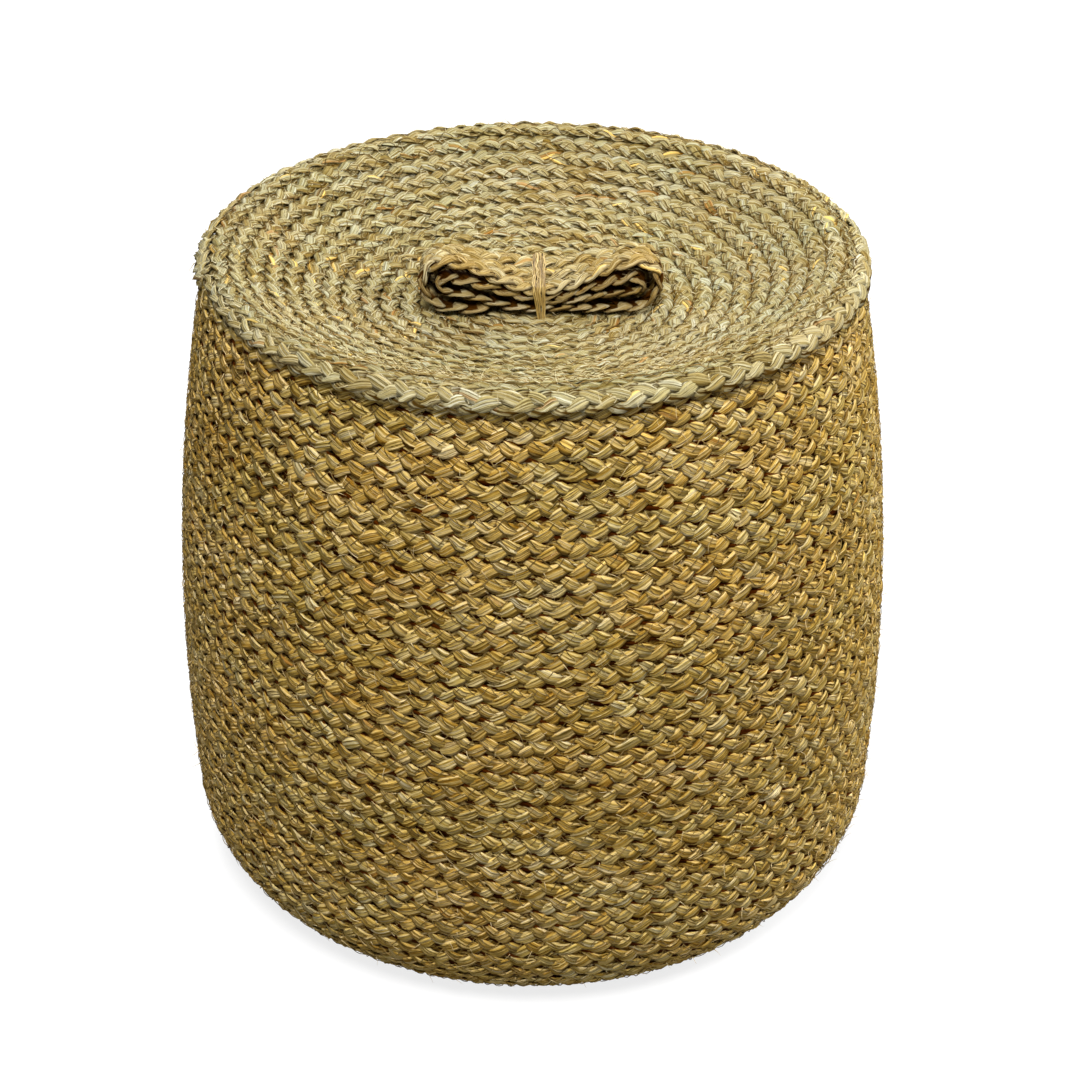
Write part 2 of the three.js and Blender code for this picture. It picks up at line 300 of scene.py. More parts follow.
# The tree that plaits a line: three strands weave from edge to edge of the braid, each going over one
# neighbour and under the next.
PLAIT_SIZES = {
    "Leaf repeat": 0.0128,
    "Reach": 0.0047,
    "Depth": 0.0014,
    "Edge fall": 0.0002,
    "Strand width": 0.0069,
    "Strand thickness": 0.0019,
    "Unevenness": 1.1,
    "Seam shade": 0.72,
    "Start": 0.0,
    "Row length": 0.4,
    "Rows": 12.0,
}
plait, given = new_tree("three_strand_plait", PLAIT_SIZES)

# A strand departs from an even weave in its height, place, turn and breadth, and its blades curl and spread.
# Waves are counted to the metre, and far-off places in the noise keep the draws apart.
STRETCH_WAVES = 22.0
STRAND_WAVES = 60.0
BLADE_WAVES = 150.0
STRETCH = 3.5
DEPARTURES = {"bulge": 0.9, "drift": 0.0016, "roll": 1.1, "swell": 0.8, "curl": 1.5, "splay": 0.6}
uneven = {part: product(plait, given["Unevenness"], share) for part, share in DEPARTURES.items()}
line = as_curve(plait, given)
copies = add_node(plait, "GeometryNodeDuplicateElements", {"Geometry": line, "Amount": 3}, domain="SPLINE")
strands = store(plait, copies.outputs["Geometry"], "strand", copies.outputs["Duplicate Index"])
along = stored(plait, "along")
strand = stored(plait, "strand")
fullness = stored(plait, "fullness")

# One leaf shows on each side of the braid for every third of a strand's full weave.
weave_length = number(plait, "MULTIPLY", given["Leaf repeat"], 3.0)
stretch, _ = wander(plait, combined(plait, product(plait, along, STRETCH_WAVES), 0.0, 0.0))
weave = product(plait, number(plait, "DIVIDE", along, weave_length), 2 * math.pi)
weave = total(plait, weave, product(plait, strand, 2 * math.pi / 3), product(plait, stretch, STRETCH))
own_place = combined(plait, product(plait, along, STRAND_WAVES), product(plait, strand, 9.7), 3.1)
swell, drift = wander(plait, own_place)
bulge, _ = wander(plait, moved(plait, own_place, (4.0, 31.0, 9.0)))
bulge = number(plait, "MULTIPLY_ADD", bulge, uneven["bulge"], 1.0)

# A strand runs straight across the braid and folds sharply at its edge, low in the seam. It lies highest just
# before it dives under its neighbour in the middle.
FOLD_LEAD = -0.4
FOLD_SHARPNESS = 0.12
fold = product(plait, number(plait, "COSINE", product(plait, weave, 3.0)), FOLD_SHARPNESS)
fold = number(plait, "MULTIPLY_ADD", number(plait, "COSINE", weave), 1 - FOLD_SHARPNESS, fold)
sideways = product(plait, fold, given["Reach"], fullness)
over_under = number(plait, "SINE", number(plait, "MULTIPLY_ADD", weave, 2.0, FOLD_LEAD))
sinking = product(plait, fold, fold, fold, fold, given["Edge fall"])
outwards = number(plait, "SUBTRACT", product(plait, over_under, given["Depth"], bulge), sinking)
outwards = product(plait, outwards, fullness)
offset = moved(
    plait,
    scaled(plait, stored_vector(plait, "across"), sideways),
    scaled(plait, stored_vector(plait, "out"), outwards),
    scaled(plait, drift, uneven["drift"]),
)
woven = shifted(plait, strands, offset)

# Each strand lies flat against the braid, rolls a little on its way, and swells where it shows as a leaf.
NARROWEST = 0.76
LEAF_SWELL = 0.34
level, facing = lying_flat(plait)
roll, _ = wander(plait, moved(plait, own_place, (17.0, 5.0, 40.0)))
roll = product(plait, roll, uneven["roll"])
across_roll, out_roll = number(plait, "COSINE", roll), number(plait, "SINE", roll)
rolled_facing = moved(plait, scaled(plait, facing, across_roll), scaled(plait, level, out_roll))
rolled_level = vector(plait, "SUBTRACT", scaled(plait, level, across_roll), scaled(plait, facing, out_roll))
breadth = number(plait, "MULTIPLY_ADD", swell, uneven["swell"], NARROWEST)
breadth = number(plait, "MULTIPLY_ADD", product(plait, over_under, over_under), LEAF_SWELL, breadth)
woven = store(plait, woven, "breadth", number(plait, "MULTIPLY", breadth, fullness))

# A strand is a flat bundle of four blades, laid like shingles that fall towards the upper edge, over a plain
# inner face. The mark is the blade's number, and grows by under a half towards the edge that the next covers.
STRAND_SECTION = (
    (1.00, -0.05, 0.45),
    (0.52, 0.72, 0.00),
    (0.47, 0.38, 1.45),
    (0.02, 0.94, 1.00),
    (-0.03, 0.58, 2.45),
    (-0.50, 0.86, 2.00),
    (-0.55, 0.50, 3.25),
    (-1.00, -0.05, 3.45),
    (-0.70, -0.80, 4.00),
    (0.70, -0.80, 4.00),
)
corner = separated(plait, stored_vector(plait, "corner"))
blade = corner["Z"]
blade_place = combined(
    plait, product(plait, along, BLADE_WAVES), product(plait, blade, 2.7), product(plait, strand, 8.3)
)
curl, splay = wander(plait, blade_place)
curl = number(plait, "MULTIPLY_ADD", curl, uneven["curl"], 1.0)
splay = number(plait, "MULTIPLY_ADD", separated(plait, splay)["Y"], uneven["splay"], 1.0)
half_width = product(plait, given["Strand width"], 0.5, stored(plait, "breadth"), splay)
half_thickness = product(plait, given["Strand thickness"], 0.5, stored(plait, "breadth"))
curled = product(plait, half_thickness, curl)
bundle = swept(plait, woven, rolled_level, rolled_facing, STRAND_SECTION, half_width, curled)

# The grain runs along each strand. A leaf's number changes where its strand dips under. Painted shade
# collects low in the braid, at its seams and under other layers.
SEAM_ZONE = (1.04, 1.40)
SHELTERED_ZONE = (0.8, 0.45)
SHELTER_DEPTH = 1.09
grain = combined(
    plait,
    along,
    product(plait, corner["X"], half_width),
    number(plait, "MULTIPLY_ADD", strand, 0.05, product(plait, corner["Y"], half_thickness)),
)
bundle = store(plait, bundle, "grain", grain, "FLOAT_VECTOR")
leaf = number(plait, "MULTIPLY_ADD", weave, 1 / math.pi, 0.25 + FOLD_LEAD / 2 / math.pi)
bundle = store(plait, bundle, "leaf", combined(plait, leaf, blade, strand), "FLOAT_VECTOR")
lifted = number(plait, "MULTIPLY_ADD", corner["Y"], half_thickness, outwards)
highest = number(plait, "MULTIPLY_ADD", given["Strand thickness"], 0.5, given["Depth"])
lift = number(plait, "ABSOLUTE", number(plait, "DIVIDE", lifted, highest))
from_middle = number(plait, "MULTIPLY_ADD", corner["X"], half_width, sideways)
from_middle = number(plait, "DIVIDE", number(plait, "ABSOLUTE", from_middle), given["Reach"])
at_seam = ranged(plait, from_middle, *SEAM_ZONE)
lift = number(plait, "SUBTRACT", lift, product(plait, at_seam, given["Seam shade"]))
# Layers that others cover take painted shade from their shelter.
inside = ranged(plait, from_middle, *SHELTERED_ZONE)
shelter = stored(plait, "shelter")
lift = number(plait, "SUBTRACT", lift, product(plait, inside, shelter))
lift = number(plait, "MINIMUM", lift, number(plait, "MULTIPLY_ADD", shelter, -SHELTER_DEPTH, 1.0))
bundle = store(plait, bundle, "lift", lift)


# The finish is laid out flat in rows, strand after strand, cut along the inner face of each strand.
def of_face(tree, value):
    inputs = {"Value": value}
    return add_node(tree, "GeometryNodeFieldOnDomain", inputs, domain="FACE", data_type="FLOAT").outputs[0]


STRIP_SHARE = 0.84
run = number(plait, "SUBTRACT", along, given["Start"])
row = number(plait, "FLOOR", number(plait, "DIVIDE", of_face(plait, run), given["Row length"]))
in_row = number(plait, "SUBTRACT", run, product(plait, row, given["Row length"]))
margin = number(plait, "MULTIPLY", given["Leaf repeat"], 0.5)
row_reach = number(plait, "MULTIPLY_ADD", margin, 2.0, given["Row length"])
flat_x = number(plait, "DIVIDE", total(plait, in_row, margin), row_reach)
turn = stored(plait, "turn")
over_cut = number(plait, "GREATER_THAN", number(plait, "SUBTRACT", of_face(plait, turn), turn), 0.25)
strip = number(plait, "MULTIPLY_ADD", total(plait, turn, over_cut), STRIP_SHARE, (1 - STRIP_SHARE) / 2)
strip = total(plait, strip, number(plait, "MULTIPLY_ADD", strand, given["Rows"], row))
flat_y = number(plait, "DIVIDE", strip, product(plait, given["Rows"], 3.0))
bundle = store(plait, bundle, "OFBake", combined(plait, flat_x, flat_y, 0.0), "FLOAT2", "CORNER")
finish_tree(plait, bundle, given["Finish"])


def plaited(name, courses, finish, body, slot, spacing, reached=0.0, **sizes):
    """A braid, or several, plaited along its courses as one piece on a body, and the length laid so far."""
    laid, end = laid_lines(name, courses, spacing, reached)
    # Rows of this length make the flat layout of the three strands about as wide as it is high.
    strand_width = sizes.get("strand_width", PLAIT_SIZES["Strand width"])
    row_length = math.sqrt(3 * (end - reached) * 3 * strand_width)
    rows = math.ceil((end - reached) / row_length)
    rows_laid = {"start": reached, "row_length": row_length, "rows": float(rows)}
    return grown(laid, plait, finish, body, slot, **rows_laid, **sizes), end


def colour_ramp(tree, tone, stops, interpolation="LINEAR"):
    """A ramp of colours with their places, and the opacity of each where one is given."""
    ramp = add_node(tree, "ShaderNodeValToRGB", {"Fac": tone})
    ramp.color_ramp.interpolation = interpolation
    elements = ramp.color_ramp.elements
    elements.remove(elements[1])
    for index, (place, colour) in enumerate(stops):
        element = elements.new(place) if index else elements[0]
        element.position = place
        element.color = (*colour, 1.0) if len(colour) == 3 else colour
    return ramp.outputs


def mixed(tree, factor, first, second, blend="MIX"):
    inputs = {"Factor": factor, 6: first, 7: second}
    return add_node(tree, "ShaderNodeMix", inputs, data_type="RGBA", blend_type=blend).outputs[2]


def new_finish(name):
    finish = bpy.data.materials.new(name)
    finish.use_nodes = True
    return finish, finish.node_tree


def streaks(tree, place, scale, detail=2.0, roughness=0.5):
    """Noise that is drawn out or packed along each direction of a place."""
    inputs = {"Vector": vector(tree, "MULTIPLY", place, scale), "Scale": 1.0}
    inputs |= {"Detail": detail, "Roughness": roughness}
    return add_node(tree, "ShaderNodeTexNoise", inputs).outputs["Fac"]


def chance(tree, place):
    return add_node(tree, "ShaderNodeTexWhiteNoise", {"Vector": place}, noise_dimensions="3D").outputs


def dress(tree, colour, fibre, roughness, gloss, relief=None):
    """Give the shader its colour and gloss, with roughness and relief that follow the fibres."""
    shader = tree.nodes["Principled BSDF"]
    tree.links.new(colour, shader.inputs["Base Color"])
    tree.links.new(ranged(tree, fibre, 0.0, 1.0, *roughness), shader.inputs["Roughness"])
    shader.inputs["Specular IOR Level"].default_value = gloss
    if relief:
        strength, depth = relief
        bump = add_node(tree, "ShaderNodeBump", {"Height": fibre, "Strength": strength, "Distance": depth})
        tree.links.new(bump.outputs["Normal"], shader.inputs["Normal"])


TONE_PLACES = (0.14, 0.34, 0.52, 0.68, 0.88)
BLADE_VARIETY = 0.16
PATCH_VARIETY = 0.24
STRIPS_IN_A_METRE = 1150.0


def grass_finish(name, blades, tints, painted_shade_colour, leaf_variety, strip_variety):
    """Dry grass leaf: a tone for each leaf and blade, fibre streaks, and painted shade in the crevices."""
    finish, tree = new_finish(name)
    grain = add_node(tree, "ShaderNodeAttribute", attribute_name="grain").outputs["Vector"]
    lift = add_node(tree, "ShaderNodeAttribute", attribute_name="lift").outputs["Fac"]
    leaf = separated(tree, add_node(tree, "ShaderNodeAttribute", attribute_name="leaf").outputs["Vector"])
    object_place = tree.nodes.new("ShaderNodeTexCoord").outputs["Object"]

    leaf_number = number(tree, "FLOOR", leaf["X"])
    blade_number = number(tree, "ROUND", leaf["Y"])
    leaf_chance = chance(tree, combined(tree, leaf_number, 7.0, leaf["Z"]))["Value"]
    blade_chance = chance(tree, combined(tree, leaf_number, blade_number, leaf["Z"]))
    fibre = streaks(tree, grain, (110.0, 2300.0, 2300.0), 3.0, 0.7)
    patch = streaks(tree, object_place, (9.0, 9.0, 16.0))

    # Each blade is split into narrow strips that waver along the strand, each with a tone of its own.
    waver = product(tree, streaks(tree, grain, (45.0, 300.0, 300.0)), 2.5)
    strip = number(tree, "MULTIPLY_ADD", separated(tree, grain)["Y"], STRIPS_IN_A_METRE, waver)
    strip_number = number(tree, "FLOOR", strip)
    strip_place = combined(tree, leaf_number, strip_number, number(tree, "ADD", leaf["Z"], 0.5))
    strip_chance = separated(tree, chance(tree, strip_place)["Color"])
    tone = number(tree, "MULTIPLY_ADD", fibre, 0.8, 0.1)
    varieties = (
        (leaf_chance, leaf_variety),
        (blade_chance["Value"], BLADE_VARIETY),
        (strip_chance["X"], strip_variety),
        (patch, PATCH_VARIETY),
    )
    for own_tone, variety in varieties:
        tone = number(tree, "MULTIPLY_ADD", own_tone, variety, tone)
        tone = number(tree, "SUBTRACT", tone, variety / 2)
    colour = colour_ramp(tree, tone, zip(TONE_PLACES, blades))["Color"]

    # A few blades are ripe yellow, rust or brown, and whole patches of the braid lean to green or to gold.
    odd = colour_ramp(
        tree,
        separated(tree, blade_chance["Color"])["X"],
        (
            (0.000, (0.42, 0.20, 0.050, 0.55)),
            (0.005, (0.13, 0.070, 0.022, 0.7)),
            (0.012, (0.0, 0.0, 0.0, 0.0)),
            (0.986, (0.82, 0.56, 0.15, 0.75)),
        ),
        "CONSTANT",
    )
    colour = mixed(tree, odd["Alpha"], colour, odd["Color"])
    lean = streaks(tree, object_place, (14.0, 14.0, 30.0), 3.0)
    lean = number(tree, "MULTIPLY_ADD", leaf_chance, 0.3, lean)
    tint = colour_ramp(tree, lean, ((0.42, tints[0]), (0.86, tints[1])))["Color"]
    colour = mixed(tree, 1.0, colour, tint, "MULTIPLY")

    # Painted shade lies low in the braid, along the covered edges of most blades, and between some strips.
    def between(value, low, high):
        return ranged(tree, value, low, high, interpolation_type="SMOOTHSTEP")

    covered = number(tree, "ABSOLUTE", number(tree, "SUBTRACT", leaf["Y"], blade_number))
    parted = between(streaks(tree, grain, (60.0, 700.0, 700.0)), 0.38, 0.62)
    covered = product(tree, between(covered, 0.14, 0.46), number(tree, "MULTIPLY_ADD", parted, 0.65, 0.2))
    split = number(tree, "ABSOLUTE", number(tree, "SUBTRACT", number(tree, "FRACT", strip), 0.5))
    split = product(tree, between(split, 0.28, 0.5), between(strip_chance["Y"], 0.25, 0.8))
    sunk = between(lift, 0.24, 0.0)
    shade = number(tree, "MAXIMUM", number(tree, "MAXIMUM", covered, split), sunk)
    colour = mixed(tree, shade, colour, mixed(tree, 1.0, colour, (*painted_shade_colour, 1.0), "MULTIPLY"))
    dress(tree, colour, fibre, roughness=(0.45, 0.85), gloss=0.01, relief=(0.8, 0.0008))
    return finish


wall_grass = grass_finish(
    "wall_grass",
    blades=(
        (0.180, 0.080, 0.004),
        (0.405, 0.246, 0.045),
        (0.590, 0.412, 0.128),
        (0.715, 0.545, 0.265),
        (0.820, 0.715, 0.510),
    ),
    tints=((1.05, 0.98, 0.82), (0.96, 1.00, 0.90)),
    painted_shade_colour=(0.075, 0.024, 0.001),
    leaf_variety=0.11,
    strip_variety=0.34,
)

PLAIT_SPACING = 0.0025
basket_start = EYE_SHARE * COURSE_WIDTH
base_steps = math.floor((base_radius - basket_start) / COURSE_WIDTH * TURN_STEPS)
base_course = spiral_course(basket_surface, basket_start, COURSE_WIDTH, basket_length, 0, base_steps)
base, wound = plaited("base", [base_course], wall_grass, "basket", "wall_grass", PLAIT_SPACING)
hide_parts("base_braid")

# The wall is the same plait, which climbs as a helix from the corner to the rim. It is joined end to end from
# nine lengths, and its last turn thins out, so that the rim ends level.
WALL_LENGTHS = 9
last_step = math.floor((basket_length - TAIL_WIDTH - basket_start) / COURSE_WIDTH * TURN_STEPS)
for index, from_step, to_step in lengths(base_steps, last_step, WALL_LENGTHS):
    course = spiral_course(basket_surface, basket_start, COURSE_WIDTH, basket_length, from_step, to_step)
    wall, wound = plaited(f"wall_{index}", [course], wall_grass, "basket", "wall_grass", PLAIT_SPACING, wound)
    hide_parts(f"wall_braid_{index}")

# Thin thread sews each course of the wall to the one below, in slanting stitches that cross the seam and the
# upper leaves of the lower course, and dive into the plait at both ends.
STITCH_SIZES = {
    "Stitch length": PLAIT_SIZES["Leaf repeat"],
    "Stitch middle": -0.0021,
    "Stitch reach": 0.0036,
    "Stitch height": 0.0030,
    "Thread width": 0.0005,
}
STITCH_SPACING = STITCH_SIZES["Stitch length"] / 8
THREAD_SECTION = ((1, -0.5, 0), (0, 1, 0), (-1, -0.5, 0))
SEAM_WAVES = 45.0
SLACK = 0.012
SWAY = 0.002
END_DEPTH = 0.0004
sewing, given = new_tree("sewn_seam", STITCH_SIZES)
along = stored(sewing, "along")
slack, sway = wander(sewing, combined(sewing, product(sewing, along, SEAM_WAVES), 0.0, 0.0))
phase = number(sewing, "MULTIPLY_ADD", slack, SLACK, along)
half_stitch = number(sewing, "MULTIPLY", given["Stitch length"], 0.5)
zigzag = number(sewing, "DIVIDE", number(sewing, "PINGPONG", phase, half_stitch), half_stitch)
zigzag = number(sewing, "MULTIPLY_ADD", zigzag, 2.0, -1.0)
bow = number(sewing, "SUBTRACT", 1.0, number(sewing, "MULTIPLY", zigzag, zigzag))
bow = number(sewing, "SQRT", number(sewing, "MAXIMUM", bow, 0.0))
bow = number(sewing, "MULTIPLY_ADD", bow, given["Stitch height"], -END_DEPTH)
slant = number(sewing, "MULTIPLY_ADD", zigzag, given["Stitch reach"], given["Stitch middle"])
offset = moved(
    sewing,
    scaled(sewing, stored_vector(sewing, "across"), slant),
    scaled(sewing, stored_vector(sewing, "out"), bow),
    scaled(sewing, sway, SWAY),
)
stitches = shifted(sewing, as_curve(sewing, given), offset)
half_thread = number(sewing, "MULTIPLY", given["Thread width"], 0.5)
thread = swept(sewing, stitches, *lying_flat(sewing), THREAD_SECTION, half_thread, half_thread)
finish_tree(sewing, thread, given["Finish"])


def fibre_finish(name, fineness, dark, pale):
    """Dry fibre with streaks between two tones."""
    finish, tree = new_finish(name)
    place = tree.nodes.new("ShaderNodeTexCoord").outputs["Object"]
    streak = streaks(tree, place, (fineness, fineness, fineness), 3.0)
    colour = colour_ramp(tree, streak, ((0.32, dark), (0.68, pale)))["Color"]
    dress(tree, colour, streak, roughness=(0.55, 0.9), gloss=0.01)
    return finish


sewing_thread = fibre_finish("sewing_thread", 160.0, (0.05, 0.032, 0.008), (0.24, 0.155, 0.050))
THREAD_LENGTHS = 3
seam_start = basket_start - COURSE_WIDTH / 2
for index, from_step, to_step in lengths(base_steps, last_step, THREAD_LENGTHS):
    seam = spiral_course(basket_surface, seam_start, COURSE_WIDTH, basket_length, from_step, to_step)
    wall_thread, _ = laid_lines(f"wall_thread_{index}", [seam], STITCH_SPACING)
    grown(wall_thread, sewing, sewing_thread, "basket", "wall_grass")

# The folded edges of the blades fill the middle of the plait and its seams, as a band behind the leaves.
# They are painted dark, as shade. Little shows of them, but they keep the basket from being seen through.
BAND_SECTION = ((1, 0, 0), (0, 1, 0), (-1, 0, 0), (0, -1, 0))
BAND_SPACING = 0.008
BAND_SIZES = {"Band width": 0.0102, "Band thickness": 0.0004, "Band depth": 0.0009}
packing, given = new_tree("packed_folds", BAND_SIZES)
fullness = stored(packing, "fullness")
inwards = product(packing, given["Band depth"], fullness, -1.0)
sunk = scaled(packing, stored_vector(packing, "out"), inwards)
middle = shifted(packing, as_curve(packing, given), sunk)
half_band = product(packing, given["Band width"], 0.5, fullness)
half_thickness = product(packing, given["Band thickness"], 0.5, fullness)
band = swept(packing, middle, *lying_flat(packing), BAND_SECTION, half_band, half_thickness)
finish_tree(packing, band, given["Finish"])


def packed_folds(name, courses, finish, body, slot, **sizes):
    laid, _ = laid_lines(name, courses, BAND_SPACING)
    grown(laid, packing, finish, body, slot, **sizes)


wall_shade = fibre_finish("wall_shade", 220.0, (0.034, 0.017, 0.002), (0.125, 0.074, 0.014))
whole_course = spiral_course(basket_surface, basket_start, COURSE_WIDTH, basket_length, 0, last_step)
packed_folds("basket_folds", [whole_course], wall_shade, "basket", "wall_grass")

# Stray fibres stand a little off the wall, where ends and split edges of the blades come out of the plait.
# Each is a thin bent sliver, rooted in a leaf and lying nearly along it.
FIBRE_SIZES = {"Fibre length": 0.0065, "Fibre width": 0.0004, "Root height": 0.0024, "Spread": 0.004}
strays, given = new_tree("stray_fibres", FIBRE_SIZES)
sliver = add_node(
    strays,
    "GeometryNodeMeshCone",
    {
        "Vertices": 3,
        "Side Segments": 3,
        "Radius Top": 0.00004,
        "Radius Bottom": product(strays, given["Fibre width"], 0.5),
        "Depth": given["Fibre length"],
    },
).outputs["Mesh"]
height = separated(strays, strays.nodes.new("GeometryNodeInputPosition").outputs[0])["Z"]
bend = number(strays, "DIVIDE", product(strays, height, height), product(strays, given["Fibre length"], 3.0))
sliver = shifted(strays, sliver, combined(strays, bend, 0.0, 0.0))


def chances(tree, lowest, highest, seed):
    inputs = {0: lowest, 1: highest, "Seed": seed}
    return add_node(tree, "FunctionNodeRandomValue", inputs, data_type="FLOAT_VECTOR").outputs[0]


out, across = stored_vector(strays, "out"), stored_vector(strays, "across")
ahead = vector(strays, "CROSS_PRODUCT", across, out)
aim = separated(strays, chances(strays, (-1.0, -0.8, -0.05), (1.0, 0.8, 0.2), 3))
direction = moved(
    strays, scaled(strays, ahead, aim["X"]), scaled(strays, across, aim["Y"]), scaled(strays, out, aim["Z"])
)
shift = separated(strays, chances(strays, (-1.0, -1.0, 0.4), (1.0, 1.0, 1.3), 8))
root = moved(
    strays,
    scaled(strays, ahead, product(strays, shift["X"], given["Spread"])),
    scaled(strays, across, product(strays, shift["Y"], given["Spread"])),
    scaled(strays, out, product(strays, given["Root height"], stored(strays, "fullness"))),
)
rooted = shifted(strays, given["Line"], root)
rotation = add_node(strays, "FunctionNodeAlignRotationToVector", {"Vector": direction}, axis="Z").outputs[0]
fibres = add_node(
    strays,
    "GeometryNodeInstanceOnPoints",
    {
        "Points": rooted,
        "Instance": sliver,
        "Rotation": rotation,
        "Scale": combined(strays, 1.0, 1.0, shift["Z"]),
    },
).outputs[0]
finish_tree(strays, fibres, given["Finish"])


def stray_fibres(name, courses, spacing, finish, body, slot, **sizes):
    laid, _ = laid_lines(name, courses, spacing)
    grown(laid, strays, finish, body, slot, **sizes)


wall_fibre = fibre_finish("wall_fibre", 90.0, (0.36, 0.23, 0.08), (0.74, 0.60, 0.33))
FIBRE_SPACING = 0.016
BARE_TURNS = 4
fibre_step = base_steps + BARE_TURNS * TURN_STEPS
wall_course = spiral_course(basket_surface, basket_start, COURSE_WIDTH, basket_length, fibre_step, last_step)
stray_fibres("wall_fibres", [wall_course], FIBRE_SPACING, wall_fibre, "basket", "wall_grass")

# The lid is a dished spiral of two lengths of wider, flatter and paler plait. It hangs in the mouth of the
# basket by its edge, which rolls over the rim.
LID_COURSE_WIDTH = 0.0106
LID_LENGTHS = 2
DISH_DEPTH = 0.034
DISH_FLAT = 0.045
ROLL_RADIUS = 0.014
ROLL_END = math.radians(62)
CLEARANCE = 0.0003
seat_angle = ROLL_END - LID_COURSE_WIDTH / 2 / ROLL_RADIUS
seat_radius = ROLL_RADIUS - HALF_BRAID - CLEARANCE
roll_centre = rim_middle - seat_radius * math.sin(seat_angle)
roll_height = RIM_HEIGHT - seat_radius * math.cos(seat_angle)
bowl_below_roll = ROLL_RADIUS - DISH_DEPTH
slope_reach = roll_centre - DISH_FLAT
bowl_radius = (slope_reach**2 + bowl_below_roll**2 - ROLL_RADIUS**2) / (2 * DISH_DEPTH)
bowl_height = roll_height + bowl_below_roll
bowl_slope = math.asin(slope_reach / (bowl_radius + ROLL_RADIUS))
bowl_length = DISH_FLAT + bowl_radius * bowl_slope
lid_length = bowl_length + ROLL_RADIUS * (bowl_slope + ROLL_END)
edge_inner = lid_length - LID_COURSE_WIDTH


def lid_surface(along):
    """Radius, height and upward direction of the lid, so far along from its middle to its rolled edge."""
    zones = [along < DISH_FLAT, along < bowl_length]
    bowl = (along - DISH_FLAT) / bowl_radius
    roll = math.pi / 2 + bowl_slope - (along - bowl_length) / ROLL_RADIUS
    bowl_reach = DISH_FLAT + bowl_radius * np.sin(bowl)
    bowl_rise = bowl_height + bowl_radius * (1 - np.cos(bowl))
    radius = np.select(zones, [along, bowl_reach], roll_centre + ROLL_RADIUS * np.cos(roll))
    height = np.select(zones, [bowl_height, bowl_rise], roll_height + ROLL_RADIUS * np.sin(roll))
    out_radial = np.select(zones, [0.0, -np.sin(bowl)], np.cos(roll))
    out_height = np.select(zones, [1.0, np.cos(bowl)], np.sin(roll))
    return radius, height, out_radial, out_height


lid_grass = grass_finish(
    "lid_grass",
    blades=(
        (0.168, 0.109, 0.018),
        (0.280, 0.216, 0.080),
        (0.355, 0.306, 0.157),
        (0.412, 0.375, 0.235),
        (0.480, 0.460, 0.355),
    ),
    tints=((1.03, 0.97, 0.88), (0.94, 0.99, 0.94)),
    painted_shade_colour=(0.24, 0.150, 0.035),
    leaf_variety=0.20,
    strip_variety=0.42,
)
LID_PLAIT = {
    "leaf_repeat": 0.0110,
    "reach": 0.0037,
    "depth": 0.0007,
    "edge_fall": 0.0004,
    "strand_width": 0.0062,
    "strand_thickness": 0.0017,
    "unevenness": 1.1,
    "seam_shade": 0.15,
}
lid_spacing = LID_PLAIT["leaf_repeat"] / 5
lid_start = EYE_SHARE * LID_COURSE_WIDTH
lid_steps = math.floor((edge_inner - TAIL_WIDTH - lid_start) / LID_COURSE_WIDTH * TURN_STEPS)
wound = 0.0
for index, from_step, to_step in lengths(0, lid_steps, LID_LENGTHS):
    course = spiral_course(lid_surface, lid_start, LID_COURSE_WIDTH, edge_inner, from_step, to_step)
    lid, wound = plaited(
        f"lid_{index}", [course], lid_grass, "lid", "lid_grass", lid_spacing, wound, **LID_PLAIT
    )
    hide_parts(f"lid_braid_{index}")

# One more course is sewn round the lid as its edge and rolls down over the rim. It starts from a taper at the
# left and ends bluntly there, just before it would meet itself.
EDGE_START = math.radians(192.5)
EDGE_SWEEP = math.radians(359.5)
EDGE_TAPER = math.radians(48)
EDGE_START_WIDTH = 0.0048
EDGE_POINTS = 2000
edge_angle = np.linspace(EDGE_START, EDGE_START + EDGE_SWEEP, EDGE_POINTS)
edge_grown = np.minimum(1, (edge_angle - EDGE_START) / EDGE_TAPER)
edge_width = EDGE_START_WIDTH + (LID_COURSE_WIDTH - EDGE_START_WIDTH) * edge_grown
edge_low = np.full_like(edge_angle, edge_inner)
edge_course = round_course(lid_surface, edge_angle, edge_low, edge_low + edge_width, LID_COURSE_WIDTH)
edge_grass = grass_finish(
    "edge_grass",
    blades=(
        (0.200, 0.132, 0.028),
        (0.340, 0.272, 0.110),
        (0.440, 0.375, 0.198),
        (0.505, 0.455, 0.285),
        (0.590, 0.555, 0.420),
    ),
    tints=((1.03, 0.97, 0.88), (0.98, 1.00, 0.95)),
    painted_shade_colour=(0.12, 0.070, 0.015),
    leaf_variety=0.24,
    strip_variety=0.42,
)
EDGE_PLAIT = {
    "leaf_repeat": 0.0134,
    "reach": 0.0040,
    "depth": 0.0012,
    "edge_fall": 0.0004,
    "strand_width": 0.0066,
    "strand_thickness": 0.0026,
    "seam_shade": 0.15,
}
lid_edge, wound = plaited(
    "lid_edge", [edge_course], edge_grass, "lid", "lid_grass", lid_spacing, wound, **EDGE_PLAIT
)
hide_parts("lid_edge_braid")

# The same thread sews the lid's courses, drawn so tight that little of it shows. Folds pack the lid's plait
# as they do the wall's, painted less dark as shade, and shorter fibres stand off it, closer together.
FIRST_STITCH_STEP = 8
LID_FIBRE_SPACING = 0.0045
seam_start = lid_start - LID_COURSE_WIDTH / 2
lid_seam = spiral_course(lid_surface, seam_start, LID_COURSE_WIDTH, edge_inner, FIRST_STITCH_STEP, lid_steps)
lid_thread, _ = laid_lines("lid_thread", [lid_seam], STITCH_SPACING)
grown(lid_thread, sewing, sewing_thread, "lid", "lid_grass", stitch_height=0.0024, stitch_reach=0.0030)
lid_course = spiral_course(lid_surface, lid_start, LID_COURSE_WIDTH, edge_inner, 0, lid_steps)
lid_shade = fibre_finish("lid_shade", 220.0, (0.080, 0.050, 0.012), (0.200, 0.150, 0.055))
packed_folds("lid_folds", [lid_course], lid_shade, "lid", "lid_grass", band_width=LID_COURSE_WIDTH)
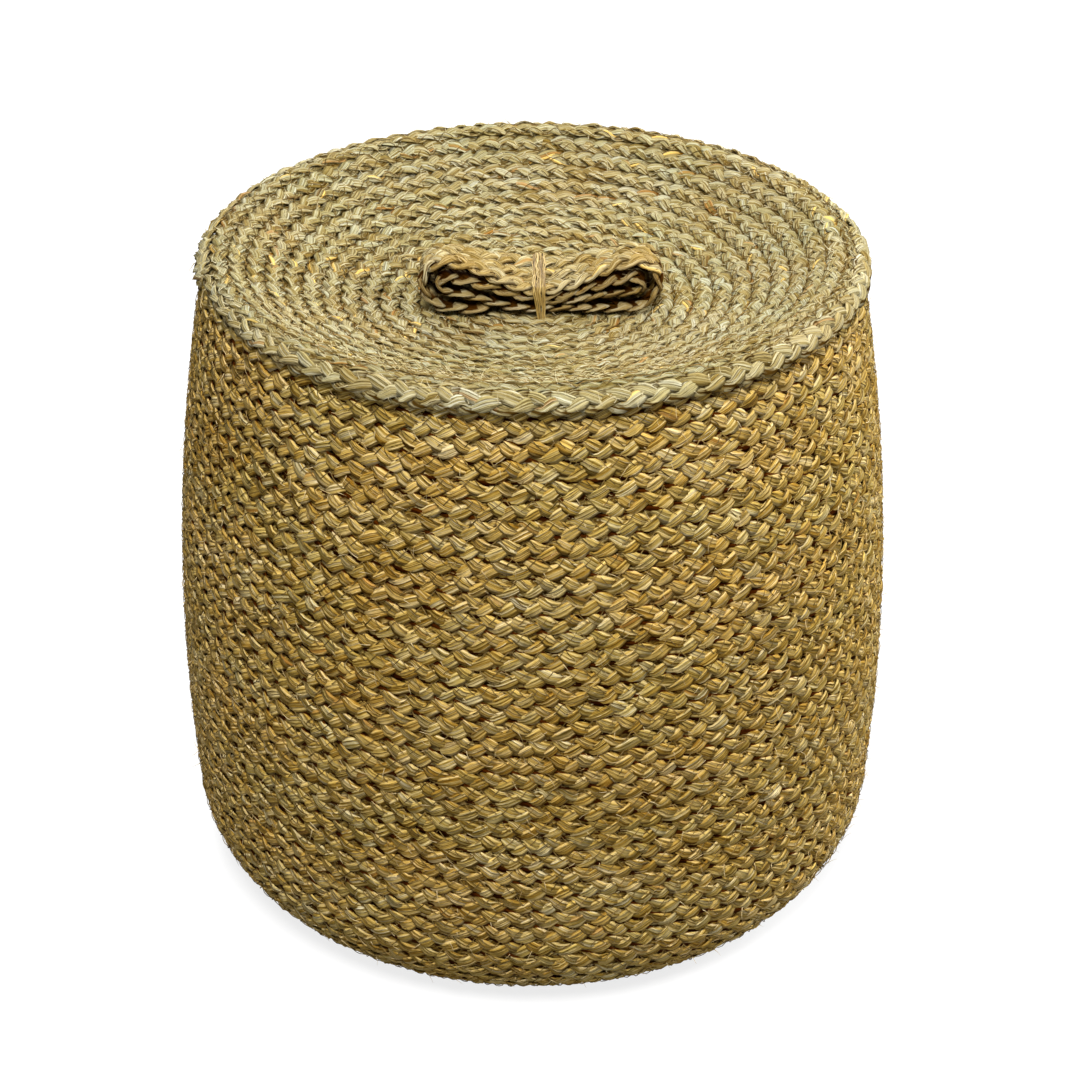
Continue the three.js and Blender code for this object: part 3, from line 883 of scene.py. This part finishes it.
lid_fibre = fibre_finish("lid_fibre", 90.0, (0.32, 0.25, 0.11), (0.54, 0.48, 0.30))
stray_fibres(
    "lid_fibres",
    [lid_course, edge_course],
    LID_FIBRE_SPACING,
    lid_fibre,
    "lid",
    "lid_grass",
    root_height=0.0014,
    fibre_length=0.0055,
    fibre_width=0.0006,
)

# The handle is three narrow braids side by side, wound together in a flat bow of two turns that lies on the
# lid. The layers press together at the waist and fan out to the loops, most of all at the front.
HANDLE_LENGTH = 0.128
HANDLE_ASIDE = 0.0045
HANDLE_BRAIDS = ("front", "middle", "back")
HANDLE_BRAID_WIDTH = 0.015
HANDLE_THICKNESS = 0.003
LAYER_GAP = 0.0005
FRONT_FAN_STEP = 0.0088
BACK_FAN_STEP = 0.0061
LOOSE_END = 0.029
LAYER_SHADE = 0.8
BOW_FIBRE_SPACING = 0.014
RUN_POINTS = 60
LOOP_POINTS = 40
RAFFIA_WIDTH = 0.005
handle_width = len(HANDLE_BRAIDS) * (HANDLE_BRAID_WIDTH + CLEARANCE) - CLEARANCE
waist_step = HANDLE_THICKNESS + LAYER_GAP
waist_half = RAFFIA_WIDTH / 2 + CLEARANCE


def lid_top(distance):
    """The height of the lid's upper face in its bowl, so far from the axis."""
    beyond_flat = np.maximum(0, distance - DISH_FLAT)
    return bowl_height + bowl_radius - np.sqrt((bowl_radius - HALF_BRAID) ** 2 - beyond_flat**2)


def handle_line(fan_step):
    """The line of a braid wound into the bow, seen from the front, and where other layers cover it."""
    loop_centre = HANDLE_LENGTH / 2 - HANDLE_THICKNESS / 2 - 1.5 * fan_step

    def fanned(x):
        share = np.clip((np.abs(x) - waist_half) / (loop_centre - waist_half), 0, 1)
        return share * share * (3 - 2 * share)

    def layer_step(x):
        return waist_step + (fan_step - waist_step) * fanned(x)

    def layer_run(layer, start, end, settle=False):
        x = np.linspace(start, end, RUN_POINTS)[:-1]
        rise = layer * layer_step(x)
        return np.column_stack([x, rise * fanned(x) if settle else rise])

    def loop_turn(side, radius, upward):
        angle = np.linspace(-math.pi / 2, math.pi / 2, LOOP_POINTS)[:-1] * upward
        x = side * (loop_centre + radius * np.cos(angle))
        return np.column_stack([x, 1.5 * fan_step + radius * np.sin(angle)])

    line = np.concatenate(
        [
            layer_run(1, -waist_half, loop_centre),
            loop_turn(1, 0.5 * fan_step, 1),
            layer_run(2, loop_centre, -loop_centre),
            loop_turn(-1, 0.5 * fan_step, -1),
            layer_run(1, -loop_centre, -waist_half, settle=True),
            layer_run(0, -waist_half, loop_centre),
            loop_turn(1, 1.5 * fan_step, 1),
            layer_run(3, loop_centre, -loop_centre),
            loop_turn(-1, 1.5 * fan_step, -1),
            layer_run(0, -loop_centre, -LOOSE_END),
        ]
    )[::-1]
    covered = np.clip(3 - line[:, 1] / layer_step(line[:, 0]), 0, 1)
    line[:, 0] += HANDLE_ASIDE
    line[:, 1] += lid_top(np.hypot(line[:, 0], handle_width / 2)) + CLEARANCE + HANDLE_THICKNESS / 2
    return line, covered


handle_grass = grass_finish(
    "handle_grass",
    blades=(
        (0.16, 0.090, 0.014),
        (0.34, 0.240, 0.078),
        (0.430, 0.328, 0.150),
        (0.510, 0.425, 0.240),
        (0.590, 0.535, 0.375),
    ),
    tints=((1.03, 0.98, 0.88), (0.98, 1.00, 0.93)),
    painted_shade_colour=(0.09, 0.040, 0.006),
    leaf_variety=0.30,
    strip_variety=0.30,
)
# The handle's seam shade is negative, so its exposed edges take less painted shade.
HANDLE_PLAIT = {
    "leaf_repeat": 0.0105,
    "reach": 0.0050,
    "depth": 0.0011,
    "edge_fall": 0.0004,
    "strand_width": 0.0076,
    "strand_thickness": 0.0027,
    "seam_shade": -0.08,
}
handle_spacing = HANDLE_PLAIT["leaf_repeat"] / 5
handle_courses = []
for index, place in enumerate(HANDLE_BRAIDS):
    braid_share = index / (len(HANDLE_BRAIDS) - 1)
    line, covered = handle_line(FRONT_FAN_STEP + (BACK_FAN_STEP - FRONT_FAN_STEP) * braid_share)
    ahead = np.gradient(line, axis=0)
    ahead /= np.linalg.norm(ahead, axis=1)[:, None]
    level = np.zeros(len(line))
    middle = (index + 0.5) * HANDLE_BRAID_WIDTH + index * CLEARANCE - handle_width / 2
    # Layers that other layers cover are given painted shade as their shelter.
    course = {
        "place": np.column_stack([line[:, 0], level + middle, line[:, 1]]),
        "out": np.column_stack([-ahead[:, 1], level, ahead[:, 0]]),
        "across": np.column_stack([level, level + 1, level]),
        "fullness": level + 1,
        "shelter": LAYER_SHADE * covered,
    }
    handle_courses.append(course)
    handle, wound = plaited(
        f"handle_{place}", [course], handle_grass, "lid", "lid_grass", handle_spacing, wound, **HANDLE_PLAIT
    )
    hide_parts(f"handle_braid_{place}")
handle_fibre = fibre_finish("handle_fibre", 90.0, (0.40, 0.26, 0.10), (0.80, 0.66, 0.40))
stray_fibres(
    "handle_fibres", handle_courses, BOW_FIBRE_SPACING, handle_fibre, "lid", "lid_grass", root_height=0.0012
)

# The tie is a bundle of nine flat raffia fibres. It goes over the waist of the bow, down through the lid at
# the front and the back, and across below it, and draws in where it enters the lid.
RAFFIA_THICKNESS = 0.0014
TIE_FIBRES = 9
FIBRE_STEP = 0.00078
FIBRE_LAYER = 0.0003
TIE_SPACING = 0.0016
TIE_POINTS = 3000
TIE_SQUARENESS = 12
TIE_GATHER = 0.6
TIE_SLANT = 0.001
RAFFIA_SIZES = {"Fibre width": 0.0008, "Fibre thickness": 0.0005, "Waviness": 0.0026}
RAFFIA_SECTION = (
    (1.0, 0.0, 0.0),
    (0.5, 0.9, 0.0),
    (0.0, 0.4, 0.0),
    (-0.5, 0.9, 0.0),
    (-1.0, 0.0, 0.0),
    (-0.4, -0.8, 0.0),
    (0.4, -0.8, 0.0),
)
raffia_tree, given = new_tree("raffia_fibre", RAFFIA_SIZES)
along = stored(raffia_tree, "along")
_, waver = wander(raffia_tree, combined(raffia_tree, product(raffia_tree, along, 110.0), 0.0, 2.0))
offset = scaled(raffia_tree, waver, given["Waviness"])
fibre = shifted(raffia_tree, as_curve(raffia_tree, given), offset)
half_width = product(raffia_tree, given["Fibre width"], 0.5)
half_thickness = product(raffia_tree, given["Fibre thickness"], 0.5)
fibre = swept(raffia_tree, fibre, *lying_flat(raffia_tree), RAFFIA_SECTION, half_width, half_thickness)
corner = separated(raffia_tree, stored_vector(raffia_tree, "corner"))
grain = combined(raffia_tree, along, product(raffia_tree, corner["X"], half_width), corner["Y"])
fibre = store(raffia_tree, fibre, "grain", grain, "FLOAT_VECTOR")
finish_tree(raffia_tree, fibre, given["Finish"])

raffia, tree = new_finish("raffia")
grain = add_node(tree, "ShaderNodeAttribute", attribute_name="grain").outputs["Vector"]
streak = streaks(tree, grain, (40.0, 2600.0, 0.4), 3.0)
grain = separated(tree, grain)
own_tone, _ = wander(tree, combined(tree, product(tree, grain["X"], 12.0), 0.0, 0.0))
# Each fibre is painted darker towards its edges and in its middle groove, as shade.
edge_shade = ranged(tree, grain["Z"], 0.0, 0.6, -0.3, 0.0)
tone = total(tree, streak, product(tree, own_tone, 0.7), edge_shade)
raffia_colours = (
    (0.22, (0.05, 0.025, 0.004)),
    (0.42, (0.20, 0.120, 0.025)),
    (0.54, (0.34, 0.235, 0.072)),
    (0.68, (0.50, 0.380, 0.165)),
)
colour = colour_ramp(tree, tone, raffia_colours)["Color"]
dress(tree, colour, streak, roughness=(0.4, 0.75), gloss=0.15, relief=(0.6, 0.0004))

lid_rest = bowl_height + HALF_BRAID
lid_underside = bowl_height - HALF_BRAID - CLEARANCE
waist_top = lid_rest + 3 * waist_step + HANDLE_THICKNESS + 2 * CLEARANCE
tie_half = handle_width / 2 + CLEARANCE + RAFFIA_THICKNESS / 2
tie_middle = (waist_top + lid_underside) / 2
tie_rise = (waist_top - lid_underside + RAFFIA_THICKNESS) / 2
loop_angle = np.linspace(-math.pi / 2, 3 * math.pi / 2, TIE_POINTS)


def rounded(values):
    return np.sign(values) * np.abs(values) ** (2 / TIE_SQUARENESS)


loop_y, loop_z = rounded(np.cos(loop_angle)), rounded(np.sin(loop_angle))
loop_out = np.column_stack(
    [
        np.zeros_like(loop_y),
        np.sign(loop_y) * np.abs(loop_y) ** (TIE_SQUARENESS - 1) / tie_half,
        np.sign(loop_z) * np.abs(loop_z) ** (TIE_SQUARENESS - 1) / tie_rise,
    ]
)
loop_out /= np.linalg.norm(loop_out, axis=1)[:, None]
gather = 1 - TIE_GATHER * np.clip((1 - loop_z) / 2, 0, 1)
tie_courses = []
for index in range(TIE_FIBRES):
    aside = (index - (TIE_FIBRES - 1) / 2) * FIBRE_STEP
    layer = FIBRE_LAYER * (index % 2)
    middle_line = np.column_stack(
        [
            HANDLE_ASIDE + aside * gather - TIE_SLANT * loop_z,
            tie_half * loop_y,
            tie_middle + tie_rise * loop_z,
        ]
    )
    tie_courses.append({"place": middle_line + layer * loop_out, "out": loop_out})
tie, tied = laid_lines("tie", tie_courses, TIE_SPACING)
grown(tie, raffia_tree, raffia, "lid", "raffia")
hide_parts("handle_tie")

# The knot holds the tie's ends together below the lid. A few fibres are wound tightly round the bundle, and
# the ends stick out past it.
KNOT_LENGTH = 0.010
KNOT_RADIUS = 0.003
KNOT_TURNS = 6
KNOT_TAIL = 0.013
KNOT_TAPER = 0.2
KNOT_SPACING = 0.0012
KNOT_POINTS = 1200
KNOT_FIBRE = {"fibre_width": 0.0019, "fibre_thickness": 0.0008, "waviness": 0.0004}
TAIL_POINTS = 40
TAIL_DROP = 0.004
TAIL_SPREADS = (-0.0012, 0.0, 0.0013)
knot_height = lid_underside - RAFFIA_THICKNESS - CLEARANCE - KNOT_RADIUS
knot_angle = np.linspace(0, 2 * math.pi * KNOT_TURNS, KNOT_POINTS)
knot_share = knot_angle / knot_angle[-1]
knot_out = np.column_stack([np.cos(knot_angle), np.zeros_like(knot_angle), np.sin(knot_angle)])
knot_bulge = 1 - KNOT_TAPER + KNOT_TAPER * np.sin(math.pi * knot_share)
knot_winding = knot_out * (KNOT_RADIUS - KNOT_FIBRE["fibre_thickness"] / 2) * knot_bulge[:, None]
knot_winding += (HANDLE_ASIDE, 0, knot_height)
knot_winding[:, 1] += (knot_share - 0.5) * (KNOT_LENGTH - 0.002)
knot_courses = [{"place": knot_winding, "out": knot_out}]
tail_share = np.linspace(0, 1, TAIL_POINTS)
for side in (-1, 1):
    for spread in TAIL_SPREADS:
        tail_place = np.column_stack(
            [
                HANDLE_ASIDE + spread * (0.4 + 2.2 * tail_share),
                side * (0.2 * KNOT_LENGTH + tail_share * KNOT_TAIL),
                knot_height - TAIL_DROP * tail_share**2 + spread,
            ]
        )
        tail_out = np.tile((0.0, 0.0, 1.0), (len(tail_share), 1))
        knot_courses.append({"place": tail_place, "out": tail_out})
knot, _ = laid_lines("knot", knot_courses, KNOT_SPACING, tied)
grown(knot, raffia_tree, raffia, "lid", "raffia", **KNOT_FIBRE)
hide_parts("tie_knot")

# The studio: a pale floor that fades into a white background, soft lamps above the front, the right and the
# back, and a camera that looks down at the basket from the front.
CAMERA_PLACE = (0.0041, -1.1665, 0.8945)
CAMERA_PITCH = 31.19
CAMERA_LENS = 80.0
FLOOR_REACH = 30.0
FLOOR_WHITENESS = 0.8
AMBIENT_LIGHT = 0.28
floor_mesh = bpy.data.meshes.new("floor")
floor_corners = [(x * FLOOR_REACH, y * FLOOR_REACH, 0) for x, y in ((-1, -1), (1, -1), (1, 1), (-1, 1))]
floor_mesh.from_pydata(floor_corners, [], [(0, 1, 2, 3)])
floor = bpy.data.objects.new("floor", floor_mesh)
bpy.context.scene.collection.objects.link(floor)


def seen_white(tree):
    """One for what the camera sees straight, mirrored or through glass, and zero for other light."""
    path = tree.nodes.new("ShaderNodeLightPath").outputs
    seen = number(tree, "MAXIMUM", path["Is Camera Ray"], path["Is Glossy Ray"])
    return number(tree, "MAXIMUM", seen, path["Is Transmission Ray"])


paper, tree = new_finish("floor_paper")
shader = tree.nodes["Principled BSDF"]
seen = seen_white(tree)
shade = mixed(tree, seen, (0.2, 0.2, 0.2, 1.0), (0.9, 0.9, 0.9, 1.0))
tree.links.new(shade, shader.inputs["Base Color"])
shader.inputs["Roughness"].default_value = 0.9
glow = add_node(tree, "ShaderNodeEmission", {"Color": (1.0, 1.0, 1.0, 1.0), "Strength": 1.0}).outputs[0]
whiteness = number(tree, "MULTIPLY", seen, FLOOR_WHITENESS)
shown = add_node(tree, "ShaderNodeMixShader", {0: whiteness, 1: shader.outputs[0], 2: glow})
tree.links.new(shown.outputs[0], tree.nodes["Material Output"].inputs["Surface"])
floor_mesh.materials.append(paper)

world = bpy.data.worlds.new("studio")
bpy.context.scene.world = world
world.use_nodes = True
tree = world.node_tree
ambient = tree.nodes["Background"]
ambient.inputs["Color"].default_value = (1.0, 1.0, 1.0, 1.0)
ambient.inputs["Strength"].default_value = AMBIENT_LIGHT
white = add_node(tree, "ShaderNodeBackground", {"Color": (1.0, 1.0, 1.0, 1.0), "Strength": 1.0}).outputs[0]
shown = add_node(tree, "ShaderNodeMixShader", {0: seen_white(tree), 1: ambient.outputs[0], 2: white})
tree.links.new(shown.outputs[0], tree.nodes["World Output"].inputs["Surface"])


def add_lamp(name, place, tilt, turn, size, power):
    lamp = bpy.data.lights.new(name, "AREA")
    lamp.shape = "DISK"
    lamp.size = size
    lamp.energy = power
    stand = bpy.data.objects.new(name, lamp)
    stand.location = place
    stand.rotation_euler = (math.radians(tilt), 0.0, math.radians(turn))
    bpy.context.scene.collection.objects.link(stand)


add_lamp("front", (-0.05, -1.35, 2.0), tilt=38.0, turn=-2.0, size=0.7, power=80.0)
add_lamp("side", (1.35, 0.15, 1.05), tilt=59.5, turn=96.3, size=0.8, power=28.0)
add_lamp("back", (-0.3, 1.5, 1.3), tilt=54.0, turn=191.3, size=0.8, power=40.0)

lens = bpy.data.cameras.new("camera")
lens.lens = CAMERA_LENS
lens.sensor_width = 36.0
camera = bpy.data.objects.new("camera", lens)
camera.location = CAMERA_PLACE
camera.rotation_euler = (math.radians(90 - CAMERA_PITCH), 0.0, 0.0)
bpy.context.scene.collection.objects.link(camera)
bpy.context.scene.camera = camera
bpy.context.scene.view_settings.view_transform = "Standard"
